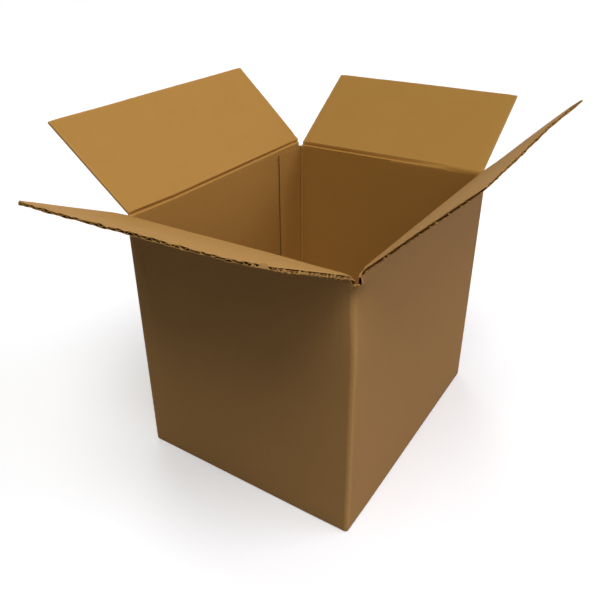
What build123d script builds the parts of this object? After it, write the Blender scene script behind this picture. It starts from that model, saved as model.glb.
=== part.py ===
from build123d import *
import math
import os

# An open shipping carton folded from one sheet of single-wall corrugated board, in millimetres.
# X runs along the short side, Y along the long side, and the origin is the centre of the base.

# Outside sizes of the box
short_side = 226.0
long_side = 278.0
wall_height = 250.0
corner_radius = 3.2
inner_corner_radius = 0.6
bottom_fold_radius = 2.0

# The board: two liners with a wavy medium between them
board = 3.8
liner = 0.45
medium = 0.5
flute_pitch = 7.8
steps_per_flute = 8

# The flaps: the gaps that stay where the outer pair meets, at the top and in the glued bottom
top_meeting_gap = 6.0
bottom_meeting_gap = 3.0
slot_width = 7.2
slot_below_crease = 1.9

# How far each top flap leans outward from upright, in degrees
front_flap_angle = 64.0
left_flap_angle = 50.0
back_flap_angle = 56.0
right_flap_angle = 45.0

# The pressed crease: thickness of the crushed board, and how far from the fold it reaches
crease_thickness = 1.2
crease_reach = 5.0

# The glue tab, folded in from the back wall and stuck to the inside of the left wall
tab_width = 44.0
tab_thickness = 2.8
tab_end_gap = 0.5
joint_setback = 1.2
joint_bend_radius = 2.5

# Clearances
fold_clearance = 0.3
side_clearance = 0.4
stack_clearance = 0.3
groove_width = 0.8

# Fold lines: the outer pair folds one board above the inner pair, so that all four can close
outer_crease_height = wall_height
inner_crease_height = wall_height - board - stack_clearance
slot_floor = inner_crease_height - slot_below_crease
hinge_offset = fold_clearance / 2
root_gap = hinge_offset + fold_clearance / math.sqrt(2)

# Flap sizes: all four are as long as half of the short side, less half of the meeting gap
flap_length = (short_side - top_meeting_gap) / 2
inner_flap_width = short_side - 2 * (board + side_clearance)
back_flap_width = inner_flap_width - tab_thickness
outer_flap_width = long_side - 2 * (slot_width - board - side_clearance)

inside_x = short_side / 2 - board
inside_y = long_side / 2 - board
overlap = 1.0


# Section of the crushed board beside a fold: an S of two equal arcs from the thin web to the full board.
# The first coordinate is the depth from the outer face, the second is the distance from the fold line.
def crease_curve():
    web = root_gap + crease_thickness
    middle = ((crease_thickness + board) / 2, (web + crease_reach) / 2)
    lower = TangentArc((crease_thickness, web), middle, tangent=(0, 1))
    upper = TangentArc(middle, (board, crease_reach), tangent=lower % 1)
    return lower + upper


# The web beside the fold is mitred, so that the flap can close without meeting its wall
def crease_root():
    edges = crease_curve() + Polyline(
        (board, crease_reach),
        (0, crease_reach),
        (0, root_gap),
        (crease_thickness, root_gap + crease_thickness),
    )
    return Plane.YZ * make_face(edges)


# What a wall loses above its fold line, with the same section turned upside down
def crease_cutter(width):
    above = -(board + stack_clearance + overlap)
    edges = crease_curve() + Polyline(
        (board, crease_reach),
        (board + overlap, crease_reach),
        (board + overlap, above),
        (-overlap, above),
        (-overlap, root_gap - overlap),
        (crease_thickness, root_gap + crease_thickness),
    )
    return extrude(Plane.YZ * mirror(make_face(edges), about=Plane.XZ), width / 2, both=True)


# Tunnels between the medium and the liners, with the medium's wave lying flat on each liner at its crests
def flute_tunnels(width):
    crest = math.sin(2 * math.pi * 1.5 / steps_per_flute)
    swing = (board / 2 - liner - medium / 2) / crest
    tunnels = []
    for flute in range(math.ceil(width / flute_pitch) + 2):
        for side in (1, -1):
            first = 2 if side == 1 else 2 + steps_per_flute // 2
            points = []
            for step in range(first, first + steps_per_flute):
                phase = (step + 0.5) / steps_per_flute
                along = width / 2 + flute_pitch * (0.75 + 1 - flute - phase)
                depth = board / 2 + swing * math.sin(2 * math.pi * phase) + side * medium / 2
                points.append((along, depth))
            tunnels.append(make_face(Polyline(*points, close=True)))
    return tunnels


# A flap standing upright over the front wall's outer face, with its fold line at height 0
def upright_flap(width):
    section = Pos(0, board / 2) * Rectangle(width, board) - flute_tunnels(width)
    panel = extrude(Pos(0, 0, crease_reach) * section, flap_length - crease_reach)
    return panel + extrude(crease_root(), width / 2, both=True)


# Moves something made over the front wall to the wall that lies `turn` degrees round the box
def on_wall(shape, turn, height):
    distance = long_side / 2 if turn % 180 == 0 else short_side / 2
    return Rot(Z=turn) * Pos(0, -distance, height) * shape


# A flap that leans outward from its fold line; `shift` moves it along the fold
def flap(width, angle, turn, height, shift=0):
    leaning = Pos(shift, -hinge_offset) * Rot(X=angle) * Pos(0, hinge_offset) * upright_flap(width)
    return on_wall(leaning, turn, height)


# The outside of the box as a block, with three folded corners, one square corner and the folds under the walls
def outer_block():
    outline = Rectangle(short_side, long_side)
    folded = outline.vertices().sort_by(lambda v: v.Y - v.X)[:3]
    block = extrude(fillet(folded, corner_radius), outer_crease_height)
    return fillet(block.edges().group_by(Axis.Z)[0], bottom_fold_radius)


# The glued corner in plan: the left wall's end is cut short, and the back wall bends in behind it
def joint_seam():
    cut_end = Pos(-short_side / 2, long_side / 2) * Rectangle(2 * board, 2 * joint_setback)
    bend_corner = Pos(-inside_x, long_side / 2) * Rectangle(2 * joint_bend_radius, 2 * joint_bend_radius)
    bend_centre = Pos(-inside_x + joint_bend_radius, long_side / 2 - joint_bend_radius)
    left_wall_end = Pos(-inside_x - board, long_side / 2) * Rectangle(2 * board, 4 * joint_bend_radius)
    return cut_end + (bend_corner - bend_centre * Circle(joint_bend_radius) - left_wall_end)


def walls():
    hollow = RectangleRounded(2 * inside_x, 2 * inside_y, inner_corner_radius)
    tube = outer_block() - extrude(hollow + joint_seam(), outer_crease_height)
    inner_cutter = crease_cutter(2 * inside_x)
    outer_cutter = crease_cutter(outer_flap_width)
    tube -= on_wall(inner_cutter, 0, inner_crease_height)
    tube -= on_wall(inner_cutter, 180, inner_crease_height)
    tube -= on_wall(outer_cutter, 90, outer_crease_height)
    tube -= on_wall(outer_cutter, 270, outer_crease_height)
    slot = Box(board + overlap, long_side, wall_height, align=(Align.MIN, Align.MIN, Align.MIN))
    for x_side in (0, 1):
        for y_side in (0, 1):
            corner = Pos(inside_x, outer_flap_width / 2, slot_floor) * slot
            if x_side:
                corner = mirror(corner, about=Plane.YZ)
            if y_side:
                corner = mirror(corner, about=Plane.XZ)
            tube -= corner
    return tube


# The closed bottom: the long walls' flaps lie outside and nearly meet, the short walls' flaps are glued above them
def bottom_flaps():
    outer_reach = inside_x - bottom_meeting_gap / 2 + overlap
    outer_width = 2 * (inside_y - groove_width)
    inner_reach = flap_length - board + overlap
    outer_flap = Box(outer_reach, outer_width, board, align=(Align.MIN, Align.CENTER, Align.MIN))
    inner_flap = Box(inner_flap_width, inner_reach, board, align=(Align.CENTER, Align.MIN, Align.MIN))
    pieces = []
    for turn in (0, 180):
        pieces.append(Rot(Z=turn) * Pos(bottom_meeting_gap / 2, 0) * outer_flap)
        pieces.append(Rot(Z=turn) * Pos(0, -inside_y - overlap, board) * inner_flap)
    return pieces


# The glue tab runs from just above the bottom flaps to just below the slot
def glue_tab():
    low = 2 * board + tab_end_gap
    high = slot_floor - tab_end_gap
    tab = Box(
        tab_thickness + overlap, tab_width + overlap, high - low, align=(Align.MIN, Align.MAX, Align.MIN)
    )
    return Pos(-inside_x - overlap, inside_y + overlap, low) * tab


def box_body():
    body = walls()
    for piece in bottom_flaps():
        body += piece
    return body + glue_tab()


# The back flap is cut back at one end, so that it closes past the glue tab
parts = {
    "box_body": box_body(),
    "front_flap": flap(inner_flap_width, front_flap_angle, 0, inner_crease_height),
    "right_flap": flap(outer_flap_width, right_flap_angle, 90, outer_crease_height),
    "back_flap": flap(back_flap_width, back_flap_angle, 180, inner_crease_height, -tab_thickness / 2),
    "left_flap": flap(outer_flap_width, left_flap_angle, 270, outer_crease_height),
}

os.makedirs("parts", exist_ok=True)
for name, shape in parts.items():
    export_step(shape, f"parts/{name}.step")
    print(name, "solids", len(shape.solids()), "faces", len(shape.faces()), "volume", round(shape.volume))
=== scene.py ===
import bpy
import bmesh
import math
import random
from mathutils import Matrix, Vector
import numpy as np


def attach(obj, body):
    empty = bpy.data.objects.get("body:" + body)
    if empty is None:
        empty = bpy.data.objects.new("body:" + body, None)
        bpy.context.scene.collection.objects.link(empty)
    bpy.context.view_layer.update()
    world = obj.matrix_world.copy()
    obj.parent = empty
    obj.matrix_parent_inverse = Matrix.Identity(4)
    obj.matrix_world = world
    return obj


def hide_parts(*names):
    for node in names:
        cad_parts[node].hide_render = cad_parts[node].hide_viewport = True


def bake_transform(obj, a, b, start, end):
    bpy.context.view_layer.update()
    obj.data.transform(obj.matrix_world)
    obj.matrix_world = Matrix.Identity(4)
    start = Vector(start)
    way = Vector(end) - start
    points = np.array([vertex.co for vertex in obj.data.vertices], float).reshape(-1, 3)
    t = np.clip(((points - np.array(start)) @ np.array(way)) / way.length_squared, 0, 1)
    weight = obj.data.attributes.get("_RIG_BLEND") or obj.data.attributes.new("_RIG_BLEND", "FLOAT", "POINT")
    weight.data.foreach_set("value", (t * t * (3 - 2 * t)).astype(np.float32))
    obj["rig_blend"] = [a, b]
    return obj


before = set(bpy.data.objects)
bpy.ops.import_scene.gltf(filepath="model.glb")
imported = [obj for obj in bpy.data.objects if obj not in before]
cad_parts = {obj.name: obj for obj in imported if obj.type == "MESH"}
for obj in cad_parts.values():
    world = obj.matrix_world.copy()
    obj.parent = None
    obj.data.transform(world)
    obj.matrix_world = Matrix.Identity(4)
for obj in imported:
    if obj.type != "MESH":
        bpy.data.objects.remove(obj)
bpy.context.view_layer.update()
mm = 0.001

# The carton as the frame has it
carton = {
    "shortSide": 226.0,
    "longSide": 278.0,
    "wallHeight": 250.0,
    "innerFold": 245.9,      # fold height of the front and back flaps
    "wallTop": 239.9,        # where the flap pieces take over from the walls
    "postTop": 244.0,        # floor of the slots at the four corners
    "cornerRadius": 3.2,
    "innerRadius": 0.6,
    "footRadius": 2.0,
    "board": 3.8,
    "axisOffset": 0.15,      # the fold turns this far outside the wall
}

# Half the room inside the walls
insideX = carton["shortSide"] / 2 - carton["board"]
insideY = carton["longSide"] / 2 - carton["board"]

# Where each wall begins along the flat sheet, by the way that it is turned
wallStart = {0: 0.0, 90: 252.0, 180: 504.0, 270: -252.0}

board = {
    "liner": 0.45,
    "medium": 0.5,
    "pitch": 7.8,
    "waveSteps": 12,
    "columnsPerFlute": 4,
}


# Small helpers for selecting and editing
def objectMode():
    if bpy.context.mode != "OBJECT":
        bpy.ops.object.mode_set(mode="OBJECT")


def selectOnly(things):
    objectMode()
    bpy.ops.object.select_all(action="DESELECT")
    for thing in things:
        thing.select_set(True)
    bpy.context.view_layer.objects.active = things[0]


def editOne(thing):
    selectOnly([thing])
    bpy.ops.object.mode_set(mode="EDIT")
    bpy.ops.mesh.select_mode(type="VERT")


def selectAll():
    bpy.ops.mesh.select_all(action="SELECT")


def pick(rule):
    mesh = bpy.context.edit_object.data
    work = bmesh.from_edit_mesh(mesh)
    bpy.ops.mesh.select_mode(type="VERT")
    for vertex in work.verts:
        vertex.select_set(rule(vertex.co))
    work.select_flush_mode()
    bmesh.update_edit_mesh(mesh)


def pickFaces(rule):
    mesh = bpy.context.edit_object.data
    bpy.ops.mesh.select_mode(type="FACE")
    work = bmesh.from_edit_mesh(mesh)
    for face in work.faces:
        face.select_set(rule(face.calc_center_median(), face.normal))
    bmesh.update_edit_mesh(mesh)


def move(x, y, z):
    bpy.ops.transform.translate(value=(x * mm, y * mm, z * mm))


def addModifier(thing, kind, **settings):
    modifier = thing.modifiers.new(kind.lower(), kind)
    for name, value in settings.items():
        setattr(modifier, name, value)
    selectOnly([thing])
    bpy.ops.object.modifier_apply(modifier=modifier.name)


# Pushes a vertex group one way, evenly or by a texture
def displace(thing, group, direction, strength, texture=None, middle=0):
    addModifier(
        thing, "DISPLACE", vertex_group=group, direction=direction, strength=strength * mm,
        mid_level=middle, texture=texture,
    )


# Settings for an edit that draws along what is near
def nearToo(size):
    return {
        "use_proportional_edit": True, "proportional_edit_falloff": "SMOOTH",
        "proportional_size": size * mm,
    }


# Squeezes the picked points to a share of their depth, about a centre
def squash(share, centre, size):
    bpy.ops.transform.resize(
        value=(1, share, 1), center_override=[part * mm for part in centre], **nearToo(size)
    )


def joinAll(pieces, name):
    selectOnly(pieces)
    bpy.ops.object.join()
    pieces[0].name = name
    pieces[0].data.name = name
    return pieces[0]


def turnedBy(degrees, axis="Z"):
    return Matrix.Rotation(math.radians(degrees), 4, axis)


def movedBy(x, y, z):
    return Matrix.Translation((x * mm, y * mm, z * mm))


def putInPlace(thing, matrix):
    selectOnly([thing])
    thing.matrix_world = matrix @ thing.matrix_world
    bpy.ops.object.transform_apply(location=True, rotation=True, scale=True)


# A grid that stands upright and faces the front, or lies flat
def makeGrid(name, columns, rows, size, place=(0, 0, 0), upright=True):
    bpy.ops.mesh.primitive_grid_add(
        x_subdivisions=columns, y_subdivisions=rows, size=1,
        rotation=(math.pi / 2 if upright else 0, 0, 0),
    )
    grid = bpy.context.object
    grid.name = name
    grid.scale = (size[0] * mm, size[1] * mm, 1)
    grid.location = [part * mm for part in place]
    bpy.ops.object.transform_apply(location=True, rotation=True, scale=True)
    return grid


def shadeSmooth():
    bpy.ops.object.shade_smooth_by_angle(angle=math.radians(35))


def weigh(thing, name, rule):
    group = thing.vertex_groups.new(name=name)
    for vertex in thing.data.vertices:
        weight = min(max(rule(vertex.co), 0.0), 1.0)
        if weight > 0:
            group.add([vertex.index], weight, "REPLACE")


def smooth(value):
    value = min(max(value, 0.0), 1.0)
    return value * value * (3 - 2 * value)


def cloudTexture(name, size, depth=1):
    texture = bpy.data.textures.new(name, "CLOUDS")
    texture.noise_scale = size * mm
    texture.noise_depth = depth
    return texture


# The pattern follows the flat sheet: distance along it, depth in the board, height on it, and wear
def keepSheetPlace(thing, place, wear):
    layers = thing.data.attributes
    layers.new("sheetPlace", "FLOAT_VECTOR", "POINT")
    layers.new("edgeWear", "FLOAT", "POINT")
    for vertex, where, worn in zip(
        thing.data.vertices, layers["sheetPlace"].data, layers["edgeWear"].data
    ):
        where.vector = place(vertex.co)
        worn.value = wear(vertex.co)


# Materials
paper = {
    "outside": (0.45, 0.24, 0.079),
    "inside": (0.47, 0.246, 0.054),
    # the medium's own darker brown, made darker still as painted shade in the open flutes and gaps
    "medium": (0.28, 0.13, 0.032),
    "cut": (0.52, 0.26, 0.06),
    "wornEdge": (0.62, 0.35, 0.11),
    "mottleScale": 22.0,
    "fineScale": 154.0,
    "fibreScale": 420.0,
    "speckScale": 714.0,
    "cloudShare": 0.65,      # of the mottle, against its fine part
    "speckFrom": 0.62,       # noise above this is a speck
    "speckDark": 4.0,
    "ribPitch": 0.0078,
    "ribPatchScale": 14,
    "scuffScale": 260,
    "scuffFrom": 0.75,       # noise and wear together have to pass this
    "scuffGain": 1.6,
    "fibreRough": 0.12,
    "fibreRelief": 0.25,
    "reliefDepth": 0.0003,
}


def newGroup(name, inputs, outputs):
    group = bpy.data.node_groups.new(name, "ShaderNodeTree")
    for label, kind, value in inputs:
        socket = group.interface.new_socket(label, in_out="INPUT", socket_type=kind)
        if value is not None:
            socket.default_value = value
    for label, kind in outputs:
        group.interface.new_socket(label, in_out="OUTPUT", socket_type=kind)
    return group, group.nodes.new("NodeGroupInput"), group.nodes.new("NodeGroupOutput")


def mathNode(tree, operation, first, second=None, clamp=False):
    node = tree.nodes.new("ShaderNodeMath")
    node.operation = operation
    node.use_clamp = clamp
    for socket, value in zip(node.inputs, (first, second)):
        if value is None:
            continue
        if isinstance(value, (int, float)):
            socket.default_value = value
        else:
            tree.links.new(value, socket)
    return node.outputs[0]


def scaled(tree, place, factors):
    node = tree.nodes.new("ShaderNodeVectorMath")
    node.operation = "MULTIPLY"
    node.inputs[1].default_value = factors
    tree.links.new(place, node.inputs[0])
    return node.outputs[0]


def noiseNode(tree, place, scale, detail, roughness=0.5):
    node = tree.nodes.new("ShaderNodeTexNoise")
    node.inputs["Scale"].default_value = scale
    node.inputs["Detail"].default_value = detail
    node.inputs["Roughness"].default_value = roughness
    tree.links.new(place, node.inputs["Vector"])
    return node.outputs["Fac"]


def attributeNode(tree, name, output):
    node = tree.nodes.new("ShaderNodeAttribute")
    node.attribute_name = name
    return node.outputs[output]


def mixNode(tree, factor, first, second):
    node = tree.nodes.new("ShaderNodeMix")
    node.data_type = "RGBA"
    node.inputs["A"].default_value = (*first, 1)
    node.inputs["B"].default_value = (*second, 1)
    tree.links.new(factor, node.inputs["Factor"])
    return node.outputs["Result"]


# One of the shared groups, given the place on the sheet
def groupNode(tree, group, place, values):
    node = tree.nodes.new("ShaderNodeGroup")
    node.node_tree = group
    tree.links.new(place, node.inputs["Place"])
    for label, value in values.items():
        node.inputs[label].default_value = value
    return node


# Soft cloudy tone, long fibres across the flutes, and fine dark specks
def makePaperFibre():
    group, given, result = newGroup(
        "paperFibre",
        [
            ("Place", "NodeSocketVector", None), ("Mottle", "NodeSocketFloat", 0.1),
            ("Fibre", "NodeSocketFloat", 0.08), ("Specks", "NodeSocketFloat", 0.1),
        ],
        [("Tone", "NodeSocketFloat"), ("Height", "NodeSocketFloat")],
    )
    place = given.outputs["Place"]
    cloud = noiseNode(group, place, paper["mottleScale"], detail=3, roughness=0.6)
    fine = noiseNode(
        group, scaled(group, place, (1, 1, 0.6)), paper["fineScale"], detail=3, roughness=0.65
    )
    fibre = noiseNode(
        group, scaled(group, place, (0.28, 1, 1.6)), paper["fibreScale"], detail=4, roughness=0.7
    )
    speck = noiseNode(group, scaled(group, place, (0.5, 1, 1)), paper["speckScale"], detail=2)
    mottle = mathNode(
        group, "ADD", mathNode(group, "MULTIPLY", cloud, paper["cloudShare"]),
        mathNode(group, "MULTIPLY", fine, 1 - paper["cloudShare"]),
    )
    mottle = mathNode(group, "SUBTRACT", mottle, 0.5)
    mottle = mathNode(group, "MULTIPLY", mottle, given.outputs["Mottle"])
    thread = mathNode(group, "SUBTRACT", fibre, 0.5)
    thread = mathNode(group, "MULTIPLY", thread, given.outputs["Fibre"])
    dots = mathNode(group, "SUBTRACT", speck, paper["speckFrom"], True)
    dots = mathNode(group, "MULTIPLY", dots, given.outputs["Specks"])
    tone = mathNode(group, "ADD", 1.0, mathNode(group, "ADD", mottle, thread))
    tone = mathNode(group, "SUBTRACT", tone, mathNode(group, "MULTIPLY", dots, paper["speckDark"]))
    group.links.new(tone, result.inputs["Tone"])
    height = mathNode(group, "ADD", fibre, mathNode(group, "MULTIPLY", cloud, 0.4))
    group.links.new(height, result.inputs["Height"])
    return group


# The flutes just show through the liner as faint ribs, fading in and out
def makeFluteRibs():
    group, given, result = newGroup(
        "fluteRibs",
        [("Place", "NodeSocketVector", None), ("Strength", "NodeSocketFloat", 0.3)],
        [("Height", "NodeSocketFloat")],
    )
    parts = group.nodes.new("ShaderNodeSeparateXYZ")
    group.links.new(given.outputs["Place"], parts.inputs[0])
    turns = mathNode(group, "MULTIPLY", parts.outputs["X"], 2 * math.pi / paper["ribPitch"])
    wave = mathNode(group, "SINE", turns)
    patch = noiseNode(group, given.outputs["Place"], paper["ribPatchScale"], detail=2)
    patch = mathNode(group, "MULTIPLY", patch, given.outputs["Strength"])
    wave = mathNode(group, "MULTIPLY", wave, patch)
    group.links.new(wave, result.inputs["Height"])
    return group


# Where the sheet is creased or cut the surface is scuffed paler, unevenly
def makeScuffs():
    group, given, result = newGroup(
        "edgeScuffs",
        [
            ("Place", "NodeSocketVector", None), ("Wear", "NodeSocketFloat", 0.0),
            ("Amount", "NodeSocketFloat", 0.6),
        ],
        [("Mask", "NodeSocketFloat")],
    )
    place = scaled(group, given.outputs["Place"], (1, 1, 0.7))
    rough = noiseNode(group, place, paper["scuffScale"], detail=4, roughness=0.7)
    rough = mathNode(group, "SUBTRACT", rough, paper["scuffFrom"])
    lifted = mathNode(group, "ADD", given.outputs["Wear"], rough)
    mask = mathNode(group, "MULTIPLY", lifted, given.outputs["Amount"], True)
    mask = mathNode(group, "MULTIPLY", mask, paper["scuffGain"], True)
    group.links.new(mask, result.inputs["Mask"])
    return group


paperFibre = makePaperFibre()
fluteRibs = makeFluteRibs()
edgeScuffs = makeScuffs()


def makePaper(name, colour, worn, roughness, mottle, fibre, specks, ribs, scuff, bump, shine=0.2):
    material = bpy.data.materials.new(name)
    material.use_nodes = True
    tree = material.node_tree
    shader = tree.nodes["Principled BSDF"]
    shader.inputs["Specular IOR Level"].default_value = shine
    place = attributeNode(tree, "sheetPlace", "Vector")
    fibres = groupNode(tree, paperFibre, place, {"Mottle": mottle, "Fibre": fibre, "Specks": specks})
    rib = groupNode(tree, fluteRibs, place, {"Strength": ribs})
    scuffs = groupNode(tree, edgeScuffs, place, {"Amount": scuff})
    tree.links.new(attributeNode(tree, "edgeWear", "Fac"), scuffs.inputs["Wear"])
    tint = tree.nodes.new("ShaderNodeVectorMath")
    tint.operation = "SCALE"
    tree.links.new(mixNode(tree, scuffs.outputs["Mask"], colour, worn), tint.inputs[0])
    tree.links.new(fibres.outputs["Tone"], tint.inputs["Scale"])
    tree.links.new(tint.outputs[0], shader.inputs["Base Color"])
    rough = mathNode(tree, "MULTIPLY", fibres.outputs["Height"], paper["fibreRough"])
    rough = mathNode(tree, "ADD", rough, roughness)
    tree.links.new(rough, shader.inputs["Roughness"])
    height = mathNode(tree, "MULTIPLY", fibres.outputs["Height"], paper["fibreRelief"])
    height = mathNode(tree, "ADD", height, rib.outputs["Height"])
    relief = tree.nodes.new("ShaderNodeBump")
    relief.inputs["Strength"].default_value = bump
    relief.inputs["Distance"].default_value = paper["reliefDepth"]
    tree.links.new(height, relief.inputs["Height"])
    tree.links.new(relief.outputs["Normal"], shader.inputs["Normal"])
    return material


linerOutside = makePaper(
    "linerOutside", paper["outside"], paper["wornEdge"], roughness=0.72, mottle=0.14, fibre=0.1,
    specks=0.1, ribs=0.22, scuff=0.5, bump=0.5,
)
linerInside = makePaper(
    "linerInside", paper["inside"], paper["wornEdge"], roughness=0.75, mottle=0.12, fibre=0.1,
    specks=0.1, ribs=0.16, scuff=0.4, bump=0.5,
)
# The flute medium's paper, which also serves as painted shade in the flutes, at the tab's free edge and in
# the slots' gaps
fluteMediumAndShade = makePaper(
    "fluteMediumAndShade", paper["medium"], paper["cut"], roughness=0.9, mottle=0.3, fibre=0.25,
    specks=0.2, ribs=0.0, scuff=0.9, bump=0.8, shine=0.02,
)
cutEdge = makePaper(
    "cutEdge", paper["cut"], paper["wornEdge"], roughness=0.9, mottle=0.5, fibre=0.4,
    specks=0.3, ribs=0.0, scuff=0.9, bump=0.9, shine=0.05,
)
papers = [linerOutside, linerInside, fluteMediumAndShade, cutEdge]
outsideIndex, insideIndex, mediumAndShadeIndex, cutIndex = range(4)
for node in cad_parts.values():
    node.data.materials.clear()
    node.data.materials.append(linerOutside)


def givePapers(thing, index):
    thing.data.materials.clear()
    for material in papers:
        thing.data.materials.append(material)
    for face in thing.data.polygons:
        face.material_index = index


# A sheet of board stands upright: x along the fold, y into the box, z up from the fold
crease = {
    "web": 0.9,          # thickness of the crushed board at the fold
    "wallReach": 0.9,    # how far below the fold the groove reaches
    "floorShare": 0.25,  # share of the groove that is flat before its steep side on the flap
    "flapShares": [0.12, 0.25, 0.4, 0.55, 0.7, 0.85, 1.0],
    "wallShares": [0.2, 0.4, 0.6, 0.8, 1.0],
}


def creaseDepth(height, thickness, flapReach):
    reach = flapReach if height > 0 else crease["wallReach"]
    away = min(abs(height) / reach, 1.0)
    if height > 0:
        away = max(away - crease["floorShare"], 0) / (1 - crease["floorShare"])
    return crease["web"] + (thickness - crease["web"]) * (1 - math.cos(math.pi * away)) / 2


# The crease is pressed less deep in places; the table gives shares of its full depth along the fold
def fillCrease(face, stops, thickness, flapReach):
    def share(place):
        across = place.x / mm
        step = 0
        while step < len(stops) - 2 and across > stops[step + 1][0]:
            step += 1
        (start, low), (finish, high) = stops[step], stops[step + 1]
        along = min(max((across - start) / (finish - start), 0), 1)
        missing = thickness - creaseDepth(place.z / mm, thickness, flapReach)
        return (1 - low - (high - low) * along) * missing / thickness

    weigh(face, "fill", share)
    displace(face, "fill", "Y", thickness)


def creaseRows(flapReach):
    above = [flapReach * share for share in crease["flapShares"]]
    below = [-crease["wallReach"] * share for share in reversed(crease["wallShares"])]
    return below + [0.0] + above


# The face of one liner, as a row of faces that is drawn out through the other rows
def makeLinerFace(name, width, rows, depth, inner):
    columns = round(width / board["pitch"] * board["columnsPerFlute"])
    middle = (rows[0] + rows[1]) / 2
    face = makeGrid(name, columns, 1, (width, rows[1] - rows[0]), (0, depth(rows[0]), middle))
    editOne(face)
    pick(lambda place: place.z > middle * mm)
    move(0, depth(rows[1]) - depth(rows[0]), 0)
    for low, high in zip(rows[1:], rows[2:]):
        bpy.ops.mesh.extrude_edges_move(
            TRANSFORM_OT_translate={"value": (0, (depth(high) - depth(low)) * mm, (high - low) * mm)}
        )
    if inner:
        selectAll()
        bpy.ops.mesh.flip_normals()
    objectMode()
    givePapers(face, insideIndex if inner else outsideIndex)
    return face


# Both liners become one sleeve, open at its ends and closed along the sides that its wear names
def makeSleeve(name, width, rows, thickness, innerDepth, wear):
    outside = makeLinerFace(name + "Outside", width, rows, lambda height: 0.0, False)
    inside = makeLinerFace(name + "Inside", width, rows, innerDepth, True)
    if wear["creaseShares"]:
        fillCrease(inside, wear["creaseShares"], thickness, wear["grooveReach"])
    sleeve = joinAll([outside, inside], name)
    if wear["closedSides"]:
        editOne(sleeve)
        half = width / 2 * mm
        for side in wear["closedSides"]:
            pick(lambda place: abs(place.x - side * half) < 0.05 * mm)
            bpy.ops.mesh.select_mode(type="EDGE")
            bpy.ops.mesh.bridge_edge_loops()
        selectAll()
        bpy.ops.mesh.normals_make_consistent(inside=False)
        objectMode()
        for face in sleeve.data.polygons:
            if abs(face.normal.x) > 0.7:
                face.material_index = cutIndex
    addModifier(
        sleeve, "SOLIDIFY", thickness=board["liner"] * mm, offset=-1, use_even_offset=True,
        material_offset_rim=cutIndex,
    )
    # The liners' faces towards the flutes take the darkened medium paper: painted shade inside the open
    # tunnels
    for face in sleeve.data.polygons:
        toFlutes = face.normal.y if face.material_index == outsideIndex else -face.normal.y
        if face.material_index < mediumAndShadeIndex and toFlutes > 0.3:
            face.material_index = mediumAndShadeIndex
    return sleeve


# The wavy medium: one flute is bent from a flat strip, repeated, and drawn out along its length
def makeMedium(name, width, rows, thickness):
    steps = board["waveSteps"]
    room = width - 2 * board["liner"]
    pitch = room / round(room / board["pitch"])
    swing = thickness / 2 - board["liner"] - board["medium"] / 2
    middle = (rows[0] + rows[1]) / 2
    place = ((pitch - room) / 2, thickness / 2, middle)
    medium = makeGrid(name, steps, 1, (pitch, rows[1] - rows[0]), place)
    editOne(medium)
    for step in range(steps + 1):
        column = (pitch * step / steps - room / 2) * mm
        pick(lambda place: abs(place.x - column) < 0.1 * mm)
        move(0, swing * math.sin(2 * math.pi * step / steps), 0)
    addModifier(
        medium, "ARRAY", count=round(room / pitch), use_relative_offset=False,
        use_constant_offset=True, constant_offset_displace=(pitch * mm, 0, 0),
        use_merge_vertices=True, merge_threshold=0.02 * mm,
    )
    editOne(medium)
    pick(lambda place: place.z > middle * mm)
    for low, high in zip(rows[1:], rows[2:]):
        bpy.ops.mesh.extrude_edges_move(TRANSFORM_OT_translate={"value": (0, 0, (high - low) * mm)})
    objectMode()
    givePapers(medium, mediumAndShadeIndex)
    addModifier(
        medium, "SOLIDIFY", thickness=board["medium"] * mm, offset=0,
        material_offset_rim=cutIndex - mediumAndShadeIndex,
    )
    return medium


# The near corner is pushed in and a little round, most of all at its top
corner = {
    "pushX": -1.7, "pushY": 1.5, "spread": 46.0, "footShare": 0.2, "fadeFrom": 226.0, "fade": 22.0,
    "topPushX": -4.6, "topPushY": 2.9, "topSpread": 22.0, "topFrom": 180.0, "topFull": 236.0,
    "topFadeFrom": 238.0, "topFade": 7.0,
}


def settle(thing):
    def share(place):
        beside = min((carton["shortSide"] / 2 * mm - place.x) / (corner["spread"] * mm), 1)
        behind = min((place.y + carton["longSide"] / 2 * mm) / (corner["spread"] * mm), 1)
        up = min(place.z / (carton["wallHeight"] * mm), 1)
        above = max(place.z - corner["fadeFrom"] * mm, 0) / (corner["fade"] * mm)
        near = (1 - smooth(abs(beside))) * (1 - smooth(abs(behind)))
        return near * (corner["footShare"] + (1 - corner["footShare"]) * up) * (1 - smooth(above))

    def topShare(place):
        beside = min(abs(carton["shortSide"] / 2 * mm - place.x) / (corner["topSpread"] * mm), 1)
        behind = min(abs(place.y + carton["longSide"] / 2 * mm) / (corner["topSpread"] * mm), 1)
        up = (place.z / mm - corner["topFrom"]) / (corner["topFull"] - corner["topFrom"])
        above = (place.z / mm - corner["topFadeFrom"]) / corner["topFade"]
        return (1 - beside) ** 2 * (1 - behind) ** 2 * smooth(up) * (1 - smooth(above))

    weigh(thing, "nearCorner", share)
    weigh(thing, "nearTop", topShare)
    for group, direction, push in (
        ("nearCorner", "X", corner["pushX"]), ("nearCorner", "Y", corner["pushY"]),
        ("nearTop", "X", corner["topPushX"]), ("nearTop", "Y", corner["topPushY"]),
    ):
        displace(thing, group, direction, push)


# A torn bit of liner that curls up from the place it is held at, and narrows to its end
torn = {"columns": 3, "rows": 5, "narrowing": 0.55, "thickness": 0.3}


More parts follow.
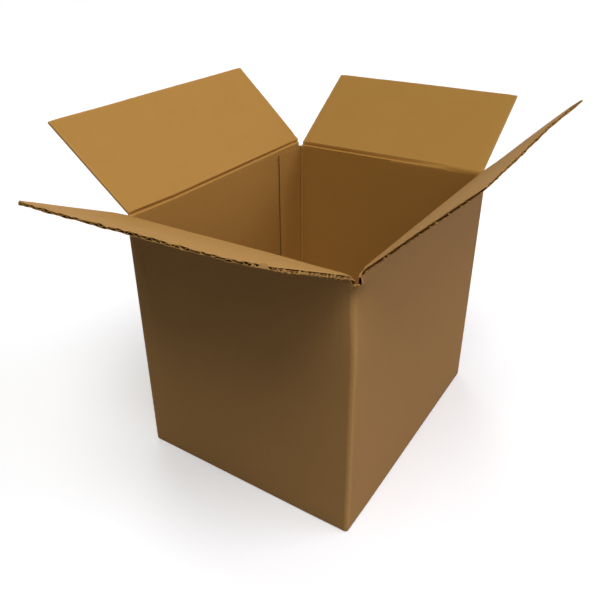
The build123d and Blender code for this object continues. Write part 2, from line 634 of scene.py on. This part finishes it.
def makeChip(name, place, width, length, curl, turns):
    rows = torn["rows"]
    chip = makeGrid(name, torn["columns"], rows, (width, length), upright=False)
    editOne(chip)
    for row in range(rows + 1):
        flat = (row / rows - 0.5) * length
        bent = curl * row / rows
        pick(lambda spot: abs(spot.y - flat * mm) < 0.05 * length * mm)
        bpy.ops.transform.resize(value=(1 - torn["narrowing"] * (row / rows) ** 2, 1, 1))
        move(0, length / curl * math.sin(bent) - flat, length / curl * (1 - math.cos(bent)))
    objectMode()
    givePapers(chip, cutIndex)
    addModifier(chip, "SOLIDIFY", thickness=torn["thickness"] * mm, offset=0)
    turned = Matrix.Identity(4)
    for axis, angle in turns:
        turned = turnedBy(angle, axis) @ turned
    putInPlace(chip, movedBy(*place) @ turned)
    return chip


# A ragged row of torn bits along a cut side of a flap: `way` is 1 or -1, the side that it stands out to
def makeFringe(name, fringe):
    draw = random.Random(fringe["seed"])
    bits = []
    for step in range(fringe["count"]):
        share = (step + draw.uniform(0.1, 0.9)) / fringe["count"]
        up = fringe["from"] + (fringe["to"] - fringe["from"]) * share
        place = (fringe["side"], fringe["depth"] + draw.uniform(-0.3, 0.5), up)
        width = draw.uniform(*fringe["width"])
        length = draw.uniform(*fringe["length"])
        turns = [("Y", -90 * fringe["way"] + draw.uniform(-25, 25)), ("Z", -90 * fringe["way"])]
        turns.append(("X", draw.uniform(-20, 20)))
        bits.append(makeChip(name + "Bit", place, width, length, draw.uniform(0.8, 2.8), turns))
    return bits


# A plain cut panel has no wear; the wear of each top flap stands beside its size
plainWear = {"closedSides": (-1, 1), "reach": 0, "creaseShares": None}
edgeShape = {
    "fullRows": 18,       # the medium keeps all its rows this near the edge
    "rowStep": 4,         # and one row of this many elsewhere
    "sideReach": 4,
    "sideClouds": {"sideInner": 3.4, "sideOuter": 2.6},
    "sideWays": {"X": 1.0, "Y": 0.6},
    "lipReach": 1.6,
    "leanCloud": 6,
    "frayCloud": 2.2,
    "dentClouds": {"innerEdge": (6.5, 0.75), "outerEdge": (8.5, 0.25)},
    "cornerReach": 12,    # the dents fade this near the flap's corners
    "cornerFade": 0.8,
    "crushFrom": 1.8,
    "crushSize": 9,
}


def makePanel(name, width, rows, thickness, folded, wear):
    length = rows[-1]
    if folded:
        innerDepth = lambda height: creaseDepth(height, thickness, wear["grooveReach"])
    else:
        innerDepth = lambda height: thickness
    sleeve = makeSleeve(name, width, rows, thickness, innerDepth, wear)
    lowest = wear["grooveReach"] if folded else rows[0]
    full = length - edgeShape["fullRows"]
    mediumRows = [
        row for row in rows
        if row >= lowest and (row > full or rows.index(row) % edgeShape["rowStep"] == 0)
    ]
    medium = makeMedium(name + "Medium", width, mediumRows, thickness)
    if wear["reach"]:
        reach = wear["reach"] * mm
        sideReach = edgeShape["sideReach"] * mm
        lipReach = edgeShape["lipReach"] * mm
        cornerReach = edgeShape["cornerReach"] * mm
        deep = thickness / 2 * mm
        half = width / 2 * mm
        farShare, nearShare = wear["sideShares"]
        edge = lambda place: smooth((place.z - length * mm + reach) / reach)
        lip = lambda place: (place.z - length * mm + lipReach) / lipReach
        side = lambda place: (
            (nearShare if place.x > 0 else farShare)
            * smooth((abs(place.x) - half + sideReach) / sideReach) * smooth(place.z / sideReach)
        )
        weigh(medium, "edge", edge)
        weigh(sleeve, "sideInner", lambda place: side(place) if place.y > deep else 0)
        weigh(sleeve, "sideOuter", lambda place: side(place) if place.y < deep else 0)
        for group, size in edgeShape["sideClouds"].items():
            for direction, share in edgeShape["sideWays"].items():
                texture = cloudTexture(name + group + direction, size, 2)
                displace(sleeve, group, direction, wear["sideFray"] * share, texture, 0.5)
        for piece in (sleeve, medium):
            weigh(piece, "lip", lip)
        texture = cloudTexture(name + "Lean", edgeShape["leanCloud"])
        displace(medium, "edge", "X", wear["lean"], texture, 0.5)
        for piece in (sleeve, medium):
            texture = cloudTexture(piece.name + "Fray", edgeShape["frayCloud"], 2)
            displace(piece, "lip", "Z", wear["fray"], texture, 0.9)
    panel = joinAll([sleeve, medium], name)
    if wear["reach"]:
        deepness = lambda place: place.y / (thickness * mm)
        nearCorner = lambda place: smooth((abs(place.x) - half + cornerReach) / cornerReach)
        inland = lambda place: edge(place) * (1 - edgeShape["cornerFade"] * nearCorner(place))
        weigh(panel, "innerEdge", lambda place: inland(place) * deepness(place))
        weigh(panel, "outerEdge", lambda place: inland(place) * (1 - deepness(place)))
        for group, (size, middle) in edgeShape["dentClouds"].items():
            displace(panel, group, "Y", wear["dent"], cloudTexture(name + group, size, 2), middle)
        editOne(panel)
        for side, low, high, most, push, size in wear["rootPushes"]:
            pick(
                lambda place: abs(place.x - side * half) < 0.6 * mm
                and low * mm < place.z < high * mm and place.y < most * mm
            )
            bpy.ops.transform.translate(value=[part * mm for part in push], **nearToo(size))
        for side, share in zip((-1, 1), wear["crushedSides"]):
            pick(
                lambda place: abs(place.x - side * half) < 0.6 * mm
                and place.z > edgeShape["crushFrom"] * mm
            )
            squash(share, (0, thickness / 2, 0), edgeShape["crushSize"])
        for low, high, share, size in wear["squeeze"]:
            pick(
                lambda place: place.z > (length - 1) * mm
                and low * width * mm <= place.x <= high * width * mm
            )
            squash(share, (0, thickness / 2, length), size)
        objectMode()
    return panel


lightWear = {
    "closedSides": (-1, 1), "reach": 8.0, "lean": 0.8, "dent": 0.4, "fray": 0.2,
    "crushedSides": (0.6, 0.6), "sideFray": 0.3, "sideShares": (1, 1), "rootPushes": [],
    "squeeze": [(-0.5, 0.5, 0.92, 8)],
}

# The four top flaps; the twist is how much further the second end leans than the first.
# A root push is a side, its lowest and highest place, its greatest depth, the push and its reach.
flaps = {
    "frontFlap": {
        "width": 217.6, "shift": 0.0, "turn": 0, "fold": carton["innerFold"],
        "angle": 64.0, "twist": -2.36, "body": "front_flap",
        "wear": {
            "grooveReach": 2.4, "closedSides": (-1,), "reach": 16.0, "lean": 3.4, "dent": 2.3, "fray": 1.5,
            "crushedSides": (1.0, 0.62), "sideFray": 2.0, "sideShares": (0.15, 1),
            "rootPushes": [(1, -0.3, 1.8, 9, (-2.6, 0, 0), 2.0)],
            "creaseShares": None,
            "squeeze": [(-0.47, 0.5, 0.84, 9), (0.2, 0.42, 0.82, 20)],
        },
        "lift": {
            "across": [-108.8, -40, 40, 80, 108.8],
            "out": [-6, 0, 18, 60, 110],
            "rise": [
                [0, 0.9, 1.9, 1.2, 0.9], [0, 1.6, 1.4, 0.8, 0.2], [0, 2.6, 2.2, 1.2, 0],
                [0, 2.5, 2.2, 1.4, 0.4], [0, 2.7, 2.8, 2.6, 2.4],
            ],
        },
        "chips": [
            ((103.4, 1.0, 109.5), 8.0, 2.8, 2.9, [("X", 90), ("Z", 180), ("Y", 6)]),
            ((97.0, 0.8, 109.6), 4.5, 1.8, 2.4, [("X", 90), ("Z", 180), ("Y", -5)]),
            ((108.4, 1.0, 64.0), 2.6, 2.2, 2.0, [("Z", -80), ("Y", 30)]),
            ((108.3, 1.0, 26.0), 2.2, 2.0, 2.6, [("Z", -85), ("Y", 20)]),
            ((106.2, 0.8, 3.6), 1.8, 2.8, 3.6, [("Z", -90), ("X", 20)]),
        ],
        "fringe": {
            "seed": 5, "count": 38, "from": 4.0, "to": 106.0, "side": 108.3, "depth": 0.5, "way": 1,
            "width": (1.0, 3.2), "length": (0.9, 2.3),
        },
    },
    "rightFlap": {
        "width": 272.0, "shift": 0.0, "turn": 90, "fold": carton["wallHeight"],
        "angle": 45.0, "twist": -0.51, "body": "right_flap",
        "wear": {
            "grooveReach": 2.4, "closedSides": (), "reach": 14.0, "lean": 2.8, "dent": 2.0, "fray": 1.2,
            "crushedSides": (0.5, 0.6), "sideFray": 1.4, "sideShares": (1, 1),
            "rootPushes": [(-1, -3.5, 2.5, 9, (0, -2.0, 0), 5.0)],
            "creaseShares": None,
            "squeeze": [(-0.5, 0.5, 0.7, 9), (-0.5, -0.3, 0.8, 26)],
        },
        "lift": {
            "across": [-136, -60, 20, 90, 136],
            "out": [-6, 0, 20, 60, 110],
            "rise": [
                [0, 2.0, 1.9, 1.8, 1.7], [0, 1.2, 1.3, 2.0, 2.9], [0, 0.2, 0.4, 2.0, 3.8],
                [0, -0.7, -0.6, 0.8, 2.6], [0, -1.3, -1.9, -1.0, 0.4],
            ],
        },
        "chips": [
            ((-135.8, 1.2, 70.0), 2.0, 2.0, 2.2, [("Z", 90), ("Y", 20)]),
            ((-135.8, 1.1, 24.0), 2.0, 2.0, 2.4, [("Z", 85), ("Y", -20)]),
        ],
        "fringe": {
            "seed": 11, "count": 22, "from": 4.0, "to": 106.0, "side": -135.7, "depth": 0.5, "way": -1,
            "width": (0.8, 2.4), "length": (0.5, 1.5),
        },
    },
    "backFlap": {
        "width": 214.8, "shift": -1.4, "turn": 180, "fold": carton["innerFold"],
        "angle": 56.0, "twist": -2.36, "body": "back_flap",
        "wear": dict(
            lightWear, grooveReach=1.9,
            creaseShares=[(-108, 0), (-70, 0.2), (-30, 0.7), (20, 0.9), (60, 1), (108, 1.05)],
        ),
    },
    "leftFlap": {
        "width": 272.0, "shift": 0.0, "turn": 270, "fold": carton["wallHeight"],
        "angle": 50.0, "twist": 4.55, "body": "left_flap",
        "wear": dict(
            lightWear, grooveReach=1.5, rootPushes=[(-1, -6.2, 7.0, 9, (1.9, 0, 0), 5.0)],
            creaseShares=[(-136, 0.45), (-112, 0.6), (-80, 0.9), (-20, 1.0), (60, 0.8), (136, 0.95)],
        ),
        "lift": {
            "across": [-136, -40, 80, 136],
            "out": [-6, 0, 18, 60, 110],
            "rise": [
                [0, 0, 0, 0, 0], [0, -1.0, -1.0, -0.6, -0.2],
                [0, -2.2, -2.0, -1.2, -0.4], [0, -0.6, -0.6, -0.4, 0],
            ],
        },
    },
}
flapShape = {
    "length": 110.0,
    "flatRows": [3 * step for step in range(1, 33)]
    + [98.5, 101, 103.5, 105.5, 107.2, 108.5, 109.4, 110],
    "lowRows": [-4.4, -3.0],
    "foldHalf": 2.0,      # the fold is spread this far to each side of its line
    "sag": 1.6,
    "sagCloud": 90,
    "sagFrom": 8,
    "sagReach": 60,
    "scuffReach": 2.5,
    "foldScuff": 0.45,
    "foldScuffAt": 3.0,   # below the fold
    "mostLift": 4.0,
}


# How far a flap is lifted at a place on it, evenly between the values of its table
def fromTable(table, across, out):
    def between(stops, value):
        value = min(max(value, stops[0]), stops[-1])
        step = 0
        while step < len(stops) - 2 and value > stops[step + 1]:
            step += 1
        return step, (value - stops[step]) / (stops[step + 1] - stops[step])

    column, columnShare = between(table["across"], across)
    row, rowShare = between(table["out"], out)
    rise = table["rise"]
    low = rise[column][row] * (1 - columnShare) + rise[column + 1][row] * columnShare
    high = rise[column][row + 1] * (1 - columnShare) + rise[column + 1][row + 1] * columnShare
    return low * (1 - rowShare) + high * rowShare


def makeFlap(name, values):
    top = carton["postTop"] if values["turn"] % 180 else carton["wallTop"]
    groove = values["wear"]["grooveReach"]
    rows = [top - values["fold"]] + flapShape["lowRows"] + creaseRows(groove)
    rows += [row for row in flapShape["flatRows"] if row > groove + 0.4]
    flap = makePanel(name, values["width"], rows, carton["board"], True, values["wear"])
    chips = [makeChip(name + "Chip", *chip) for chip in values.get("chips", [])]
    if "fringe" in values:
        chips += makeFringe(name, values["fringe"])
    if chips:
        joinAll([flap] + chips, name)
    foldHalf = flapShape["foldHalf"]
    sagFrom = flapShape["sagFrom"] * mm
    sagReach = flapShape["sagReach"] * mm
    weigh(flap, "free", lambda place: smooth((place.z - sagFrom) / sagReach))
    weigh(flap, "turned", lambda place: smooth((place.z / mm + foldHalf) / (2 * foldHalf)))
    texture = cloudTexture(name + "Sag", flapShape["sagCloud"])
    displace(flap, "free", "Y", flapShape["sag"], texture, 0.5)
    fold = values["fold"]
    span = carton["shortSide"] if values["turn"] % 180 else carton["longSide"]
    upright = turnedBy(values["turn"]) @ movedBy(values["shift"], -span / 2, fold)
    along = (wallStart[values["turn"]] + values["shift"]) * mm
    half = values["width"] / 2 * mm
    length = flapShape["length"] * mm

    def flapWear(place):
        reach = flapShape["scuffReach"] * mm
        margin = min(half - abs(place.x), length - place.z)
        atFold = 1 - abs(place.z + flapShape["foldScuffAt"] * mm) / reach
        return max(1 - margin / reach, flapShape["foldScuff"] * atFold, 0)

    keepSheetPlace(flap, lambda place: (place.x + along, place.y, place.z + fold * mm), flapWear)
    most = flapShape["mostLift"]
    if "lift" in values:
        for sign, group in ((1, "rise"), (-1, "drop")):
            weigh(
                flap, group,
                lambda place: sign * fromTable(values["lift"], place.x / mm, place.z / mm) / most,
            )
    addModifier(
        flap, "SIMPLE_DEFORM", deform_method="TWIST", deform_axis="X",
        angle=math.radians(values["twist"]), vertex_group="turned",
    )
    editOne(flap)
    bend = foldHalf * mm
    pick(lambda place: place.z >= bend - 1e-5)
    bpy.ops.transform.rotate(
        value=-math.radians(values["angle"]), orient_axis="X", orient_type="GLOBAL",
        center_override=(0, -carton["axisOffset"] * mm, 0), **nearToo(2 * foldHalf),
    )
    objectMode()
    if "lift" in values:
        for sign, group in ((1, "rise"), (-1, "drop")):
            displace(flap, group, "Z", sign * most)
    lean = math.radians(values["angle"])
    axis = Vector((0, -carton["axisOffset"] * mm, 0))
    begin = axis + Vector((0, 0, -bend))
    end = axis + Vector((0, -math.sin(lean) * bend, math.cos(lean) * bend))
    putInPlace(flap, upright)
    settle(flap)
    shadeSmooth()
    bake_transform(flap, "carton", values["body"], start=upright @ begin, end=upright @ end)
    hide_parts(values["body"])
    print("made", name, len(flap.data.polygons))


for name, values in flaps.items():
    makeFlap(name, values)


# The walls: an outer and an inner skin, bridged round the top
walls = {
    "cornerSteps": 6,
    "sideCuts": 43,
    "heightCuts": 44,
    "flapEnds": (-108.8, -106.0, 108.8),   # where the front and back flaps' pieces begin and end
    "postCuts": (1.6, 3.0),
    "postsBeyond": (105.9, 134.5),         # the slots' floors are further out than this
    "postLiner": 0.6,
    "postGap": 3.0,
    "nearPostBeyond": (108.7, -135.9),
    "nearPostLift": 2.2,
    "scuffAt": 2.0,
    "scuffReach": 3.0,
    "chips": [
        ((112.6, -138.4, 245.2), 1.6, 1.8, 2.0, [("X", 70), ("Z", 45)]),
        ((110.4, -139.0, 245.4), 1.8, 1.6, 2.4, [("X", 100), ("Z", 10)]),
    ],
}


def makeSkin(name, shortSide, longSide, radius, foot):
    top = carton["postTop"] * mm
    bpy.ops.mesh.primitive_plane_add(size=1, location=(0, 0, 0))
    skin = bpy.context.object
    skin.name = name
    skin.scale = (shortSide * mm, longSide * mm, 1)
    bpy.ops.object.transform_apply(location=True, rotation=True, scale=True)
    editOne(skin)
    selectAll()
    bpy.ops.mesh.bevel(
        affect="VERTICES", offset=radius * mm, segments=walls["cornerSteps"], profile=0.5
    )
    selectAll()
    bpy.ops.mesh.extrude_region_move(TRANSFORM_OT_translate={"value": (0, 0, top)})
    selectAll()
    bpy.ops.mesh.normals_make_consistent(inside=False)
    if foot:
        pick(lambda place: place.z < 0.1 * mm)
        bpy.ops.mesh.bevel(affect="EDGES", offset=foot * mm, segments=4, profile=0.5)
    pickFaces(lambda place, normal: abs(normal.z) > 0.999)
    bpy.ops.mesh.delete(type="FACE")
    # Cuts along the walls and up them, so that the skin can bend
    cuts = []
    count = walls["sideCuts"]
    for side in (0, 1):
        span = (shortSide, longSide)[side] - 2 * radius
        way = (1 - side, side, 0)
        for cut in range(1, count + 1):
            place = (cut / (count + 1) - 0.5) * span * mm
            cuts.append((tuple(place * part for part in way), way))
    for end in walls["flapEnds"]:
        cuts.append(((end * mm, 0, 0), (1, 0, 0)))
    for cut in range(1, walls["heightCuts"] + 1):
        cuts.append(((0, 0, cut / (walls["heightCuts"] + 1) * carton["wallTop"] * mm), (0, 0, 1)))
    for above in (0, *walls["postCuts"]):
        cuts.append(((0, 0, (carton["wallTop"] + above) * mm), (0, 0, 1)))
    for place, way in cuts:
        selectAll()
        bpy.ops.mesh.bisect(plane_co=place, plane_no=way)
    frontEnd, backEnd, otherEnd = (end * mm for end in walls["flapEnds"])
    pickFaces(
        lambda place, normal: place.z > carton["wallTop"] * mm
        and (frontEnd if place.y < 0 else backEnd) < place.x < otherEnd
    )
    bpy.ops.mesh.delete(type="FACE")
    objectMode()
    return skin


# How far in a place is from the short walls' faces and from the long walls' faces
def wallDepths(place):
    toShort = carton["longSide"] / 2 * mm - abs(place.y)
    toLong = carton["shortSide"] / 2 * mm - abs(place.x)
    return toShort, toLong


def alongWalls(place):
    toShort, toLong = wallDepths(place)
    if toShort < toLong:
        along = place.x if place.y < 0 else wallStart[180] * mm - place.x
        depth = toShort
    else:
        along = wallStart[90] * mm + place.y if place.x > 0 else wallStart[270] * mm - place.y
        depth = toLong
    return (along, depth, place.z)


def wallWear(place):
    toShort, toLong = wallDepths(place)
    reach = walls["scuffReach"] * mm
    if min(toShort, toLong) > reach:
        return 0
    fromCorner = abs(max(toShort, toLong) - walls["scuffAt"] * mm)
    return max(1 - fromCorner / reach, 1 - place.z / reach, 0)


def makeWalls():
    thick = carton["board"]
    skins = []
    for name, inset, radius, foot, index in (
        ("outerSkin", 0, carton["cornerRadius"], carton["footRadius"], outsideIndex),
        ("innerSkin", thick, carton["innerRadius"], 0, insideIndex),
    ):
        skin = makeSkin(
            name, carton["shortSide"] - 2 * inset, carton["longSide"] - 2 * inset, radius, foot
        )
        givePapers(skin, index)
        skins.append(skin)
    editOne(skins[1])
    selectAll()
    bpy.ops.mesh.flip_normals()
    tube = joinAll(skins, "boxWalls")
    editOne(tube)
    bpy.ops.mesh.select_all(action="DESELECT")
    bpy.ops.mesh.select_mode(type="EDGE")
    work = bmesh.from_edit_mesh(tube.data)
    low = carton["wallTop"] * mm - 1e-5
    for edge in work.edges:
        edge.select_set(edge.is_boundary and all(end.co.z > low for end in edge.verts))
    bmesh.update_edit_mesh(tube.data)
    bpy.ops.mesh.bridge_edge_loops()
    # The cut board at the floor of each slot: two liners with a gap between them, its floor in the darkened
    # medium paper as painted shade
    top = carton["postTop"] * mm
    beyondX, beyondY = walls["postsBeyond"]
    nearX, nearY = walls["nearPostBeyond"]
    pickFaces(
        lambda place, normal: place.z > top - 1e-5 and abs(normal.z) > 0.9
        and abs(place.x) > beyondX * mm and abs(place.y) > beyondY * mm
    )
    for face in bmesh.from_edit_mesh(tube.data).faces:
        if face.select:
            face.material_index = cutIndex
    bpy.ops.mesh.inset(thickness=walls["postLiner"] * mm, depth=0, use_boundary=True)
    bpy.ops.mesh.extrude_region_move(
        TRANSFORM_OT_translate={"value": (0, 0, -walls["postGap"] * mm)}
    )
    selectAll()
    bpy.ops.mesh.remove_doubles(threshold=1e-6)
    pick(lambda place: place.z > top - 1e-5 and place.x > nearX * mm and place.y < nearY * mm)
    move(0, 0, walls["nearPostLift"])
    objectMode()
    chips = [makeChip("wallChip", *chip) for chip in walls["chips"]]
    joinAll([tube] + chips, "boxWalls")
    # The gap's floor takes the medium paper, darkened as painted shade
    gapFloor = top - (walls["postGap"] + 0.1) * mm
    for face in tube.data.polygons:
        if gapFloor < face.center.z < top - 0.1 * mm and abs(face.normal.z) > 0.5:
            face.material_index = mediumAndShadeIndex
    keepSheetPlace(tube, alongWalls, wallWear)
    settle(tube)
    shadeSmooth()
    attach(tube, "carton")
    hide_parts("box_body")
    print("made boxWalls", len(tube.data.polygons))


makeWalls()


# The closed bottom and the glue tab are plain panels of the same board
bottom = {
    "outerWidth": 268.8,
    "innerWidth": 217.6,
    "outerReach": 107.7,
    "innerReach": 106.2,
    "rows": 12,
}
tab = {
    "width": 41.7,
    "thickness": 2.8,
    "low": 8.1,
    "high": 243.5,
    "rows": 24,
    "edgeShare": 0.45,
    "edgeReach": 9,
    "offset": 2.3,        # from the corner to the panel's side
    "foldWidth": 2.6,
    "foldRise": 0.7,
    "foldColumns": 6,
    "foldRows": 24,
    "foldAt": (1.45, 0.95, -45),
    "chips": [
        ((20.0, 1.3, 232.5), 2.6, 2.8, 1.3, [("Y", 90), ("Z", -15)]),
        ((20.2, 1.3, 228.4), 2.2, 2.4, 1.6, [("Y", 90), ("Z", -25)]),
    ],
}


def evenRows(length, count):
    return [length * step / count for step in range(count + 1)]


def finishPanel(panel, matrix):
    putInPlace(panel, matrix)
    shadeSmooth()
    keepSheetPlace(panel, lambda place: (place.x, place.y, place.z + 0.7), lambda place: 0.2)
    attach(panel, "carton")
    print("made", panel.name, len(panel.data.polygons))


def makeBottom():
    lying = Matrix(((-1, 0, 0, 0), (0, 0, 1, 0), (0, 1, 0, 0), (0, 0, 0, 1)))
    inner = (insideY, bottom["innerWidth"], bottom["innerReach"], carton["board"])
    outer = (insideX, bottom["outerWidth"], bottom["outerReach"], 0)
    for name, turn, (distance, width, reach, height) in (
        ("bottomFront", 0, inner), ("bottomRight", 90, outer),
        ("bottomBack", 180, inner), ("bottomLeft", 270, outer),
    ):
        rows = evenRows(reach, bottom["rows"])
        panel = makePanel(name, width, rows, carton["board"], False, plainWear)
        finishPanel(panel, turnedBy(turn) @ movedBy(0, -distance, height) @ lying)


def makeTab():
    height = tab["high"] - tab["low"]
    rows = evenRows(height, tab["rows"])
    openSides = dict(plainWear, closedSides=())
    panel = makePanel("glueTab", tab["width"], rows, tab["thickness"], False, openSides)
    freeEdge = tab["width"] / 2
    editOne(panel)
    pick(lambda place: place.x > (freeEdge - 0.6) * mm)
    squash(tab["edgeShare"], (0, 0, height / 2), tab["edgeReach"])
    objectMode()
    # The cut rims at the free edge take the darkened medium paper, a painted shade line along the gap to the
    # wall; the other rims take the inner liner's paper
    for face in panel.data.polygons:
        if face.material_index == cutIndex:
            atEdge = face.center.x > (freeEdge - 1) * mm
            face.material_index = mediumAndShadeIndex if atEdge else insideIndex
    fold = makeGrid("tabFold", tab["foldColumns"], tab["foldRows"], (tab["foldWidth"], height))
    editOne(fold)
    for column in range(tab["foldColumns"] + 1):
        share = column / tab["foldColumns"]
        across = (share - 0.5) * tab["foldWidth"] * mm
        pick(lambda place: abs(place.x - across) < 0.1 * mm)
        move(0, tab["foldRise"] * math.sin(math.pi * share), 0)
    selectAll()
    bpy.ops.mesh.flip_normals()
    objectMode()
    givePapers(fold, insideIndex)
    addModifier(fold, "SOLIDIFY", thickness=board["liner"] * mm, offset=-1)
    beside, above, turned = tab["foldAt"]
    putInPlace(
        fold, movedBy(-freeEdge - beside, tab["thickness"] + above, height / 2) @ turnedBy(turned)
    )
    chips = [makeChip("tabChip", *chip) for chip in tab["chips"]]
    panel = joinAll([panel, fold] + chips, "glueTab")
    place = movedBy(-insideX, insideY - freeEdge - tab["offset"], tab["low"])
    finishPanel(panel, place @ turnedBy(270))


makeBottom()
makeTab()


# Floor and background
studio = {
    "floorRadius": 6.0,
    "floorBounce": 0.3,
    "floorShown": 0.86,
    "floorGlow": 0.3,
    "worldStrength": 0.02,
    "lampSoftness": 40,
}


def makeFloor():
    bpy.ops.mesh.primitive_circle_add(vertices=96, radius=studio["floorRadius"], fill_type="NGON")
    floor = bpy.context.object
    floor.name = "studioFloor"
    material = bpy.data.materials.new("floorPaper")
    material.use_nodes = True
    tree = material.node_tree
    shader = tree.nodes["Principled BSDF"]
    shader.inputs["Roughness"].default_value = 1.0
    shader.inputs["Specular IOR Level"].default_value = 0.0
    shader.inputs["Emission Color"].default_value = (1, 1, 1, 1)
    seen = tree.nodes.new("ShaderNodeLightPath").outputs["Is Camera Ray"]
    grey = mixNode(tree, seen, [studio["floorBounce"]] * 3, [studio["floorShown"]] * 3)
    tree.links.new(grey, shader.inputs["Base Color"])
    glow = mathNode(tree, "MULTIPLY", seen, studio["floorGlow"])
    tree.links.new(glow, shader.inputs["Emission Strength"])
    floor.data.materials.append(material)


def makeWorld():
    world = bpy.data.worlds.new("studioWorld")
    bpy.context.scene.world = world
    world.use_nodes = True
    nodes = world.node_tree.nodes
    links = world.node_tree.links
    nodes["Background"].inputs["Color"].default_value = (1, 1, 1, 1)
    path = nodes.new("ShaderNodeLightPath")
    strength = nodes.new("ShaderNodeMapRange")
    strength.inputs["To Min"].default_value = studio["worldStrength"]
    strength.inputs["To Max"].default_value = 1.0
    links.new(path.outputs["Is Camera Ray"], strength.inputs["Value"])
    links.new(strength.outputs["Result"], nodes["Background"].inputs["Strength"])


# Soft lamps: height and compass angle in degrees, strength and colour
coolTint = (0.99, 0.98, 1.16)
plainTint = (1, 1, 1)
lamps = {
    "keyLamp": (72, 300, 1.68, plainTint),
    "nearLamp": (50, 320, 0.56, plainTint),
    "sideLamp": (30, 30, 0.74, coolTint),
    "lowLamp": (14, 45, 0.46, coolTint),
    "farLamp": (14, 135, 1.25, plainTint),
}


def makeLamps():
    for name, (height, compass, strength, tint) in lamps.items():
        height = math.radians(height)
        compass = math.radians(compass)
        way = Vector((
            math.cos(compass) * math.cos(height), math.sin(compass) * math.cos(height), math.sin(height)
        ))
        data = bpy.data.lights.new(name, "SUN")
        data.energy = strength
        data.color = tint
        data.angle = math.radians(studio["lampSoftness"])
        lamp = bpy.data.objects.new(name, data)
        lamp.rotation_euler = way.to_track_quat("Z", "Y").to_euler()
        bpy.context.scene.collection.objects.link(lamp)


# The camera stands as the fit to the photograph gives it
view = {
    "place": (0.28375, -0.48347, 0.45367),
    "azimuth": 33.68,
    "elevation": 28.08,
    "roll": -0.78,
    "focalPixels": 630.3,
    "imagePixels": 600,
    "centreX": 287.48,
    "centreY": 281.70,
}


def makeCamera():
    data = bpy.data.cameras.new("photoCamera")
    camera = bpy.data.objects.new("photoCamera", data)
    bpy.context.scene.collection.objects.link(camera)
    size = view["imagePixels"]
    data.sensor_width = 36
    data.lens = view["focalPixels"] * data.sensor_width / size
    data.shift_x = (size / 2 - view["centreX"]) / size
    data.shift_y = (view["centreY"] - size / 2) / size
    data.clip_start = 0.01
    data.clip_end = 50
    turn = turnedBy(view["azimuth"])
    tilt = turnedBy(90 - view["elevation"], "X")
    roll = turnedBy(view["roll"])
    camera.matrix_world = Matrix.Translation(view["place"]) @ turn @ tilt @ roll
    bpy.context.scene.camera = camera


makeFloor()
makeWorld()
makeLamps()
makeCamera()
print("made the studio")

bpy.context.scene.view_settings.view_transform = "Standard"
